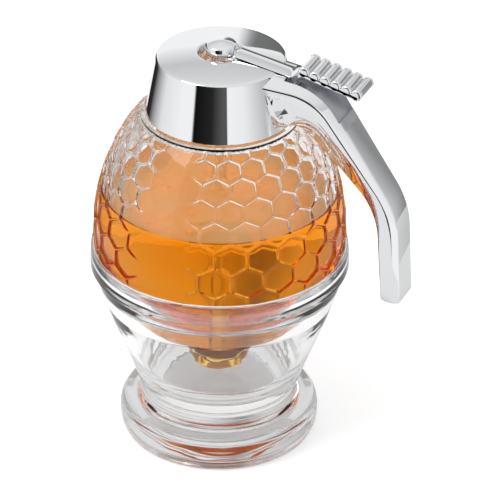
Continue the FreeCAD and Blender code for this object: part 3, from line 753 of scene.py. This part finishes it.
def run_tree(name, tree, values):
    """Runs a geometry tree on an empty object and returns the plain mesh that it makes."""
    holder = bpy.data.objects.new(name, bpy.data.meshes.new(name))
    scene.collection.objects.link(holder)
    modifier = holder.modifiers.new(name, "NODES")
    modifier.node_group = tree
    for socket in tree.interface.items_tree:
        if socket.in_out == "INPUT" and socket.name in values:
            modifier[socket.identifier] = values[socket.name]
    bpy.context.view_layer.update()
    evaluated = holder.evaluated_get(bpy.context.evaluated_depsgraph_get())
    mesh = bpy.data.meshes.new_from_object(evaluated)
    holder.modifiers.remove(modifier)
    bpy.data.objects.remove(holder)
    return mesh


skin_mesh = run_tree("skin", tree, {"Cell": cell, "Glass": jar_glass})
bpy.data.objects.remove(cell)
print("honeycomb skin: %d faces" % len(skin_mesh.polygons))

# %% [markdown]
# The honeycomb is only the outside of a band. From its two open rims the wall is drawn on: up over
# the shoulder and down the inside, and down over the bowl to the nozzle. Both runs meet in the
# nozzle's mouth, so the glass is one closed shell with a real thickness.

# %% Closing the jar
bm = bmesh.new()
bm.from_mesh(skin_mesh)
bmesh.ops.remove_doubles(bm, verts=bm.verts, dist=0.002)
on_rim = [f for f in bm.faces if all(abs(v.co.z - SKIN_LOW) < 0.01 for v in f.verts)
          or all(abs(v.co.z - SKIN_HIGH) < 0.01 for v in f.verts)]
bmesh.ops.delete(bm, geom=on_rim, context="FACES")
bmesh.ops.dissolve_degenerate(bm, dist=1e-4, edges=bm.edges)
loose = [v for v in bm.verts if not v.link_faces]
bmesh.ops.delete(bm, geom=loose, context="VERTS")
rims = {SKIN_LOW: [], SKIN_HIGH: []}
odd_edges = 0
for edge in bm.edges:
    if len(edge.link_faces) == 1:
        for height in rims:
            if all(abs(v.co.z - height) < 0.05 for v in edge.verts):
                rims[height].append(edge)
                break
        else:
            odd_edges += 1
print("rim edges %d and %d, stray %d" % (len(rims[SKIN_LOW]), len(rims[SKIN_HIGH]), odd_edges))


def carry_on(bm, edges, outline):
    """Draws an open rim on along an outline of (r, z): every rim vertex keeps its direction."""
    ring = list({v for e in edges for v in e.verts})
    follow = {v: v for v in ring}
    for r, z in outline:
        nxt = {}
        for v, last in follow.items():
            away = math.hypot(v.co.x, v.co.y)
            nxt[v] = bm.verts.new((v.co.x / away * r, v.co.y / away * r, z))
        for e in edges:
            a, b = e.verts
            bm.faces.new((follow[a], follow[b], nxt[b], nxt[a]))
        follow = nxt
    last_edges = []
    for e in edges:
        a, b = e.verts
        last_edges.append(bm.edges.get((follow[a], follow[b])))
    return last_edges


def egg_points(z_from, z_to, steps, radius_at=egg_radius):
    """Points (r, z) down the outer wall of the egg, or down another curve of it."""
    heights = [z_from + (z_to - z_from) * i / steps for i in range(1, steps + 1)]
    return [(radius_at(z), z) for z in heights]


throat = NECK_RADIUS - WALL
ceiling_z = SEAT_Z - WALL
top_outline = soften([(SHOULDER_RADIUS, SKIN_HIGH), (SHOULDER_RADIUS - 0.1, 128.4, 0.4),
                      (SHOULDER_RADIUS - 1.0, SEAT_Z, 0.4), (NECK_RADIUS, SEAT_Z, 0.8),
                      (NECK_RADIUS, NECK_TOP_Z, 0.8), (throat, NECK_TOP_Z, 0.8),
                      (throat, ceiling_z + 2.0, 1.5),
                      (inner_egg(ceiling_z - 2.5) - 1.2, ceiling_z, 1.5),
                      (inner_egg(ceiling_z - 2.5), ceiling_z - 2.5)])[1:]
top_outline += egg_points(ceiling_z - 2.5, WIDEST_Z, 14, inner_egg)
nozzle_in = NOZZLE_RADIUS - NOZZLE_WALL
meet_z = WIDEST_Z - (EGG_DOWN - WALL) * math.sqrt(1 - (nozzle_in / (EGG_RADIUS - WALL)) ** 2)
top_outline += egg_points(WIDEST_Z, meet_z, 12, inner_egg)
top_outline += [(nozzle_in, meet_z - 3.0), (nozzle_in, 36.0)] + soften(
    [(nozzle_in, 34.0), (nozzle_in, 31.2, 0.5), (NOZZLE_MOUTH, 31.2, 0.4), (NOZZLE_MOUTH, 30.0)])
nozzle_top = WIDEST_Z - EGG_DOWN * math.sqrt(1 - ((NOZZLE_RADIUS + 3) / EGG_RADIUS) ** 2)
bottom_outline = egg_points(SKIN_LOW, nozzle_top, 14)
bottom_outline += soften([
    (NOZZLE_RADIUS + 2.6, nozzle_top - 0.25), (NOZZLE_RADIUS, nozzle_top - 1.6, 2.0),
    (NOZZLE_RADIUS, NOZZLE_LOW_Z + 3.0), (NOZZLE_RADIUS, NOZZLE_LOW_Z, 1.2),
    (NOZZLE_MOUTH, NOZZLE_LOW_Z, 0.6), (NOZZLE_MOUTH, 29.8)])
top_rim = carry_on(bm, rims[SKIN_HIGH], top_outline)
bottom_rim = carry_on(bm, rims[SKIN_LOW], bottom_outline)
bmesh.ops.bridge_loops(bm, edges=top_rim + bottom_rim)
open_edges = sum(1 for e in bm.edges if len(e.link_faces) != 2)
jar = make_object("jar_glass_piece", bm, jar_glass)
jar.data.materials.append(wet_glass)
WET_TOP = 0.0355         # up to this height, in metres, honey wets the nozzle
for face in jar.data.polygons:
    in_nozzle = (face.center.z < WET_TOP
                 and math.hypot(face.center.x, face.center.y) < NOZZLE_RADIUS * MM + 0.0005)
    face.material_index = 1 if in_nozzle else 0
print("open edges left on the jar: %d" % open_edges)
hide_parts("jar")
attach(jar, "dispenser")

# %% [markdown]
# ## Honey
# The honey takes the shape of the room it fills. Between glass and honey there is no air, so the
# honey's skin lies a little inside the wall of the glass: light then goes straight from one to
# the other. Its top climbs the glass and the rod a little, as thick liquids do.

# %% Honey
INTO_WALL = 0.35
CLIMB = 1.2              # how far the honey climbs glass and rod
honey_outline = [(0.0, 32.0), (nozzle_in + INTO_WALL, 32.0), (nozzle_in + INTO_WALL, meet_z - 1.5)]
honey_outline += [(inner_egg(z, INTO_WALL), z) for z in
                  [meet_z + (HONEY_Z + CLIMB - meet_z) * (i / 40) for i in range(1, 41)]]
edge = inner_egg(HONEY_Z)
honey_outline += [(r, HONEY_Z + rise) for r, rise in (
    (edge - 0.35, 0.75), (edge - 1.0, 0.25), (edge - 2.2, 0.0), (edge - 6.0, -0.05), (12.0, -0.05),
    (5.0, 0.0), (3.3, 0.25), (2.5, 0.8), (1.8, CLIMB), (0.0, CLIMB))]
honey = turned_piece("honey_fill", honey_outline, honey_finish, 192)
honey.data.materials.append(honey_top)
for face in honey.data.polygons:
    if face.center.z > (HONEY_Z - 0.3) * MM and face.normal.z > 0.5:
        face.material_index = 1
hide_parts("honey")
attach(honey, "dispenser")

# %% [markdown]
# ## Cap
# The chromed cap is a cone with a slightly domed top. It is turned like the glass, with a small
# radius on its edge so that the edge catches light, and then a slot is cut for the lever.

# %% Cap
CAP_FOOT, CAP_TOP, CAP_RISE, CAP_HOLE = 26.4, 22.7, 1.8, 7.9


def dome_z(r):
    """Height of the domed top at a radius: a piece of a large ball."""
    ball = (CAP_TOP ** 2 + CAP_RISE ** 2) / (2 * CAP_RISE)
    return CAP_EDGE_Z + math.sqrt(ball * ball - r * r) - (ball - CAP_RISE)


bore, BORE_TOP = NECK_RADIUS + 0.15, 141.4
dome = [(r, dome_z(r)) for r in (21.0, 18.5, 16.0, 13.5, 11.0, 9.2)]
cap_outline = soften([(bore, SEAT_Z), (CAP_FOOT - 0.2, SEAT_Z, 0.2), (CAP_FOOT, SEAT_Z + 0.4, 0.3),
                      (CAP_TOP + 0.25, CAP_EDGE_Z - 1.5), (CAP_TOP + 0.05, CAP_EDGE_Z - 0.05, 1.3),
                      (21.0, dome_z(21.0))])
cap_outline += dome + soften([
    (9.2, dome_z(9.2)), (CAP_HOLE, dome_z(CAP_HOLE), 0.6), (CAP_HOLE, 149.0),
    (CAP_HOLE, BORE_TOP, 0.3), (bore, BORE_TOP, 0.3), (bore, 140.0)])
cap = turned_piece("cap_cone", cap_outline, chrome, 256, closed=True)


def join_rings(bm, rings):
    """Joins each ring of vertices to the next one with four-sided faces."""
    for here, after in zip(rings, rings[1:]):
        for k in range(len(here)):
            n = (k + 1) % len(here)
            bm.faces.new((here[k], here[n], after[n], after[k]))


def add_slab(bm, outline, low_y, high_y):
    """Adds a closed slab between two depths with an outline of (x, z)."""
    near, far = ([bm.verts.new((x, y, z)) for x, z in outline] for y in (low_y, high_y))
    bm.faces.new(near)
    bm.faces.new(list(reversed(far)))
    join_rings(bm, (near, far))


def prism(name, outline, low_y, high_y):
    """A solid between two depths with an outline of (x, z), in millimetres."""
    bm = bmesh.new()
    add_slab(bm, outline, low_y, high_y)
    return make_object(name, bm, chrome)


def cut_away(piece, cutter):
    """Cuts one mesh out of another for good, and removes the cutter."""
    modifier = piece.modifiers.new("cut", "BOOLEAN")
    modifier.operation = "DIFFERENCE"
    modifier.solver = "EXACT"
    modifier.object = cutter
    bake(piece)
    bpy.data.objects.remove(cutter)


def bake(piece):
    """Makes the modifiers' result the piece's own mesh."""
    bpy.context.view_layer.update()
    graph = bpy.context.evaluated_depsgraph_get()
    mesh = bpy.data.meshes.new_from_object(piece.evaluated_get(graph))
    old = piece.data
    piece.modifiers.clear()
    piece.data = mesh
    bpy.data.meshes.remove(old)


LEVER_HALF = 7.5 / 2
SLOT = LEVER_HALF + 0.35
cut_away(cap, prism("slot", [(2, 160), (2, 149.9), (6, 149.9), (21.4, 147.2), (21.4, 140.7),
                             (40, 140.7), (40, 160)], -SLOT, SLOT))
cap.data.set_sharp_from_angle(angle=math.radians(30))

# %% [markdown]
# ## Handle
# The handle is one moulding with the cap. Seen from the side its outer and its inner line are
# straight runs joined by large bends. A section with a flat face and two bevels is carried along
# between those lines. Beside the cap it is hollowed by the lever's channel, and each side has a
# shallow panel that fades out down the arm.

# %% Handle
HANDLE_END = low("cap")[2]
HANDLE_IN, HANDLE_OUT = EGG_RADIUS + 19.6, high("cap")[0]
BEVEL, FACE, INNER_FACE, END_WIDTH, ROOT = 2.6, 11.5, 12.4, 14.0, 22.8
END_DEPTH, CHAMFER = 7.3, 1.2


def rounded_line(corners, radii, samples):
    """Straight runs joined by arcs, with a fixed number of points on each run and arc."""
    corners = [Vector(c) for c in corners]
    points, here = [], corners[0]
    for k, radius in enumerate(radii):
        before, corner, after = corners[k], corners[k + 1], corners[k + 2]
        way_in, way_out = (corner - before).normalized(), (after - corner).normalized()
        turn = way_in.angle(way_out)
        tangent = radius * math.tan(turn / 2)
        start, end = corner - way_in * tangent, corner + way_out * tangent
        centre = corner + (way_out - way_in).normalized() * (radius / math.cos(turn / 2))
        n = samples[2 * k]
        points += [here.lerp(start, i / n) for i in range(n)]
        n = samples[2 * k + 1]
        for i in range(n):
            a = turn * i / n
            points.append(centre + (start - centre) * math.cos(a) + way_in * (radius * math.sin(a)))
        here = end
    n = samples[-1]
    return points + [here.lerp(corners[-1], i / n) for i in range(n + 1)]


SAMPLES = (10, 22, 26, 22, 10)
outer_line = rounded_line([(CAP_TOP - 5.7, CAP_EDGE_Z), (CAP_TOP + 17.5, CAP_EDGE_Z - 1.9),
                           (HANDLE_OUT - 1.8, CAP_EDGE_Z - 45.4),
                           (HANDLE_OUT, HANDLE_END + CHAMFER)],
                          (22.0, 32.0), SAMPLES)
inner_line = rounded_line([(CAP_TOP - 1.7, SEAT_Z + 1.2), (CAP_TOP + 9.9, SEAT_Z + 5.7),
                           (HANDLE_IN - 2.4, CAP_EDGE_Z - 44.5), (HANDLE_IN, HANDLE_END + CHAMFER)],
                          (6.0, 28.0), SAMPLES)


def handle_section(outer, inner, fall):
    """Half of a section, as (place, width) pairs from the outer face round to the inner face."""
    way = inner - outer
    thick = way.length
    way = way / thick
    side = END_WIDTH / 2 + (ROOT - END_WIDTH) / 2 * (1 - fall) ** 2.4
    half = soften([(0.0, 0.0), (FACE / 2, 0.0, 0.35), (side, BEVEL, 0.7),
                   (max(INNER_FACE / 2, side - 1.6), thick, 0.6), (0.0, thick)], 4)
    return [(outer + way * depth, width) for width, depth in half]


bm = bmesh.new()
total = sum((b - a).length for a, b in zip(outer_line, outer_line[1:]))
gone, rings = 0.0, []
for k, (outer, inner) in enumerate(zip(outer_line, inner_line)):
    if k:
        gone += (outer - outer_line[k - 1]).length
    half = handle_section(outer, inner, gone / total)
    ring = [bm.verts.new((p.x, y, p.y)) for p, y in half]
    ring += [bm.verts.new((p.x, -y, p.y)) for p, y in reversed(half[1:-1])]
    rings.append(ring)
# The lower end is drawn in by a small rounded chamfer.
tip = [v.co for v in rings[-1]]
middle = sum(tip, Vector()) / len(tip)
for inset, drop in ((0.15, 0.35), (0.5, 0.8), (CHAMFER, CHAMFER)):
    rings.append([bm.verts.new((middle.x + (c.x - middle.x) * (1 - 2 * inset / END_DEPTH),
                                c.y * (1 - 2 * inset / END_WIDTH), HANDLE_END + CHAMFER - drop))
                  for c in tip])
join_rings(bm, rings)
bm.faces.new(rings[0])
bm.faces.new(rings[-1])
handle = make_object("cap_handle", bm, chrome)

# %% [markdown]
# The hollows are cut with exact booleans, because the arm's surface is curved and a cut leaves a
# clean edge on it. The pad's channel is wide and the lever's slot narrow. Each side gets a shallow
# panel with a deeper pocket beside the cap.

# %% Hollows in the handle
bore_outline = [(0.0, 120.0), (bore, 120.0), (bore, BORE_TOP), (0.0, BORE_TOP)]
cut_away(handle, turned_piece("bore", bore_outline, chrome, 96))
PAD_WIDE = 6.0           # half the thumb pad's width
PAD_HALF = PAD_WIDE + 0.35
cut_away(handle, prism("channel", [(26.5, 170), (26.5, PIN_Z + 0.4), (36.7, PIN_Z - 1.2),
                                   (45.9, PIN_Z - 8.0), (48.9, PIN_Z - 5.6), (62.7, 170)],
                       -PAD_HALF, PAD_HALF))
slot_outline = [(2, 170), (2, 149.9), (6, 149.9), (21.4, 147.2), (21.4, PIN_Z)]
slot_outline += arc((PIN_X, PIN_Z), 3.35, 190, 323, 12)[1:] + [(31.5, PIN_Z - 2.0), (31.5, 170)]
cut_away(handle, prism("slot", slot_outline, -SLOT, SLOT))


def through(a, b, c, steps=14):
    """Points of a bow from a to c that passes b."""
    a, b, c = Vector(a), Vector(b), Vector(c)
    pull = b * 2 - (a + c) / 2
    return [tuple(a * (1 - t) ** 2 + pull * 2 * t * (1 - t) + c * t * t)
            for t in [k / steps for k in range(steps + 1)]]


PANEL_FLOOR = PAD_HALF + 1.6
reach_x, low_z = CAP_TOP + 21.5, CAP_EDGE_Z - 18.6
panel = through((CAP_TOP - 0.8, CAP_EDGE_Z - 5.8), (CAP_TOP + 11.5, CAP_EDGE_Z - 8.8),
                (reach_x, low_z))
panel += through((reach_x, low_z), (CAP_TOP + 13.0, CAP_EDGE_Z - 13.6),
                 (CAP_TOP + 3.6, CAP_EDGE_Z - 14.8))[1:]
pocket = [(CAP_TOP + 0.3, PIN_Z - 1.5), (CAP_TOP + 2.7, CAP_EDGE_Z - 14.2),
          (CAP_TOP + 7.0, CAP_EDGE_Z - 12.2), (PIN_X + 1.5, PIN_Z - 2.5)]
for side in (-1, 1):
    for outline, floor_y in ((panel, PANEL_FLOOR), (pocket, PANEL_FLOOR - 2.0)):
        cut_away(handle, prism("hollow", outline, *sorted((side * floor_y, side * 14.0))))
# The hollow under the thumb pad is left unpolished.
handle.data.materials.append(satin)
for face in handle.data.polygons:
    x, y, z = face.center / MM
    in_channel = 26.4 < x < 49.5 and abs(y) < 6.4 and z > 134
    face.material_index = 1 if in_channel and face.normal.z > -0.2 else 0
handle.data.set_sharp_from_angle(angle=math.radians(32))
print("handle         %6d faces" % len(handle.data.polygons))
for piece in (cap, handle):
    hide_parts("cap")
    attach(piece, "dispenser")

# %% [markdown]
# ## Pin, plunger and stopper
# A steel pin carries the lever. The knob sits on the fork of the lever, the rod hangs from the
# knob, and the stopper at its foot closes the nozzle.

# %% Pin and plunger


def across(piece):
    """Lays a piece that was turned about the jar's axis across it, along the lever's pin."""
    for v in piece.data.vertices:
        x, y, z = v.co
        v.co = (PIN_X * MM + y, z, PIN_Z * MM + x)
    piece.data.flip_normals()
    if sum(p.area * p.normal.dot(p.center - Vector((PIN_X * MM, 0, PIN_Z * MM)))
           for p in piece.data.polygons) < 0:
        piece.data.flip_normals()
    return piece


half_pin = high("pivot_pin")[1]
pin_outline = soften([(0.0, -half_pin), (1.5, -half_pin, 0.3), (1.5, half_pin, 0.3),
                      (0.0, half_pin)])
pin = across(turned_piece("pin", pin_outline, steel, 48))
knob_z = 152.2
knob_outline = soften([(0.0, knob_z - 4.5), (1.7, knob_z - 4.5), (1.7, knob_z, 0.2),
                       (5.2, knob_z, 0.3), (5.5, knob_z + 0.3, 0.3), (5.5, knob_z + 3.0, 0.6),
                       (4.6, knob_z + 3.5)]) \
    + [(3.6, knob_z + 3.82), (2.4, knob_z + 4.1), (1.2, knob_z + 4.32), (0.0, high("knob")[2])]
knob = turned_piece("knob_head", knob_outline, chrome, 96)
rod_low, rod_high = low("rod")[2], high("rod")[2]
rod_outline = soften([(0.0, rod_low), (2.1, rod_low, 0.3), (2.1, rod_high, 0.3), (0.0, rod_high)])
rod = turned_piece("plunger_rod", rod_outline, steel, 64)
stop_z, stop_top = low("stopper")[2], high("stopper")[2]
stop_outline = soften([(0.0, stop_z), (5.9, stop_z, 0.2), (6.2, stop_z + 0.3, 0.2),
                       (6.2, stop_z + 2.2, 0.4), (3.1, stop_top, 0.4), (0.0, stop_top)])
stopper = turned_piece("stopper_cone", stop_outline, plastic, 96)
for piece, node, body, slot in ((pin, "pivot_pin", "dispenser", "steel_pin"),
                                (knob, "knob", "plunger", "chrome_knob"),
                                (rod, "rod", "plunger", "steel_rod"),
                                (stopper, "stopper", "plunger", "stopper_plastic")):
    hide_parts(node)
    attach(piece, body)

# %% [markdown]
# ## Lever
# The lever is one casting: a fork that holds the knob, a flat bar, two cheeks on the pin, and a
# pad for the thumb. The pad is a plate with six round ribs across it. Each rib is a rod with a
# wider collar at both ends, and Geometry Nodes set the ribs in a row down the plate.

# %% Lever bar
FALL, SLOPE = math.tan(math.radians(9.5)), math.radians(13.4)
DIP = math.tan(SLOPE)
RIB_X, RIB_Z, RIB_PITCH, RIBS = PIN_X + 8.6, PIN_Z + 9.5, 4.04, 6


def plate_z(x):
    """Height of the pad's plate at a place along the lever."""
    return RIB_Z - (x - RIB_X) * DIP


def bar_z(x):
    """Height of the bar's top at a place along the lever."""
    return CAP_EDGE_Z + 3.0 - (x - 6.1) * FALL


PAD_END = RIB_X + (RIBS - 1) * RIB_PITCH * math.cos(SLOPE) + 0.8
BAR_THICK, PLATE_THICK = 3.0, 1.7
stations = [(2.6, LEVER_HALF, 151.9, 149.3), (6.0, LEVER_HALF, 151.9, 149.3),
            (6.15, LEVER_HALF, bar_z(6.15), 149.5)]
stations += [(x, LEVER_HALF, bar_z(x), bar_z(x) - BAR_THICK) for x in (7.1, 14.0, 21.8, 25.6, 27.2)]
stations += [(28.6, 3.8, 150.3, 147.0), (29.9, 4.7, 151.9, 148.6),
             (31.0, 5.45, plate_z(31.0) - 0.9, 150.4), (31.7, PAD_WIDE, plate_z(31.7), 151.3)]
stations += [(x, PAD_WIDE, plate_z(x), plate_z(x) - PLATE_THICK) for x in (32.9, PAD_END)]
FORK_IN = 2.05           # half the gap that the knob's stem stands in
HOLE_RADIUS, CHEEK_RADIUS, CHEEK_IN, CHEEK_SIDES = 1.55, 3.0, 0.6, 32
bm = bmesh.new()
rings = [[bm.verts.new((x, w, top)), bm.verts.new((x, -w, top)), bm.verts.new((x, -w, foot)),
          bm.verts.new((x, w, foot))] for x, w, top, foot in stations]
join_rings(bm, rings)
bm.faces.new(rings[0])
bm.faces.new(rings[-1])
prong = [(3.2, 151.9)] + arc((-0.9, 150.6), 1.3, 90, 270, 8) + [(3.2, 149.3)]
block = [(22.3, 147.9), (28.2, 147.0), (27.4, 145.4), (22.2, 145.4)]
for side in (-1, 1):
    add_slab(bm, prong, side * FORK_IN, side * LEVER_HALF)
    # A cheek: a ring round the pin, joined to the bar above by a block.
    loops = []
    for r, y in ((HOLE_RADIUS, CHEEK_IN), (CHEEK_RADIUS, CHEEK_IN), (CHEEK_RADIUS, LEVER_HALF),
                 (HOLE_RADIUS, LEVER_HALF)):
        loops.append([bm.verts.new((PIN_X + r * math.cos(2 * math.pi * k / CHEEK_SIDES), side * y,
                                    PIN_Z + r * math.sin(2 * math.pi * k / CHEEK_SIDES)))
                      for k in range(CHEEK_SIDES)])
    join_rings(bm, loops + loops[:1])
    add_slab(bm, block, side * CHEEK_IN, side * 3.7)
lever = make_object("lever_bar", bm, chrome)
edges = lever.modifiers.new("edges", "BEVEL")
edges.width = 0.4 * MM
edges.segments = 3
edges.limit_method = "ANGLE"
edges.angle_limit = math.radians(28)
bake(lever)
lever.data.set_sharp_from_angle(angle=math.radians(40))

# %% [markdown]
# The six ribs are one turned rod, set in a row down the slope of the pad. With Geometry Nodes
# their number, pitch and slope are inputs, so another pad needs no new modelling.

# %% Ribs
tree, given = geometry_tree("ribs", [
    ("Rib", "NodeSocketObject", None), ("Ribs", INT, RIBS), ("First X", FLOAT, RIB_X * MM),
    ("First Z", FLOAT, RIB_Z * MM), ("Pitch", FLOAT, RIB_PITCH * MM),
    ("Dip", FLOAT, SLOPE), ("Finish", "NodeSocketMaterial", None)])
start = add(tree, "ShaderNodeCombineXYZ", {0: given["First X"], 2: given["First Z"]}).outputs[0]
step_x = m("MULTIPLY", given["Pitch"], m("COSINE", given["Dip"]))
step_z = m("MULTIPLY", m("MULTIPLY", given["Pitch"], m("SINE", given["Dip"])), -1.0)
step = add(tree, "ShaderNodeCombineXYZ", {0: step_x, 2: step_z}).outputs[0]
row = add(tree, "GeometryNodeMeshLine", {"Count": given["Ribs"], "Start Location": start,
                                         "Offset": step}).outputs[0]
rib_shape = add(tree, "GeometryNodeObjectInfo", {"Object": given["Rib"]}).outputs["Geometry"]
ribs = add(tree, "GeometryNodeInstanceOnPoints", {"Points": row, "Instance": rib_shape}).outputs[0]
ribs = add(tree, "GeometryNodeRealizeInstances", {0: ribs}).outputs[0]
ribs = add(tree, "GeometryNodeSetMaterial",
           {"Geometry": ribs, "Material": given["Finish"]}).outputs[0]
add(tree, "NodeGroupOutput", {"Geometry": ribs})
half_rib = [(1.95, 4.4, 0.3), (1.85, 4.9, 0.2), (2.1, 5.2, 0.2), (2.1, 5.6, 0.3),
            (1.7, PAD_WIDE, 0.3), (0.0, PAD_WIDE)]
other_half = [(point[0], -point[1], *point[2:]) for point in reversed(half_rib)]
rib_outline = soften(other_half + half_rib)
rib = turned_piece("rib", rib_outline, chrome, 40)
for v in rib.data.vertices:
    x, y, z = v.co
    v.co = (y, z, x)
ribs_mesh = run_tree("ribs", tree, {"Rib": rib, "Finish": chrome})
bpy.data.objects.remove(rib)
ribs = bpy.data.objects.new("lever_ribs", ribs_mesh)
scene.collection.objects.link(ribs)
print("lever_ribs     %6d faces" % len(ribs_mesh.polygons))
for piece in (lever, ribs):
    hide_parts("lever")
    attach(piece, "lever")
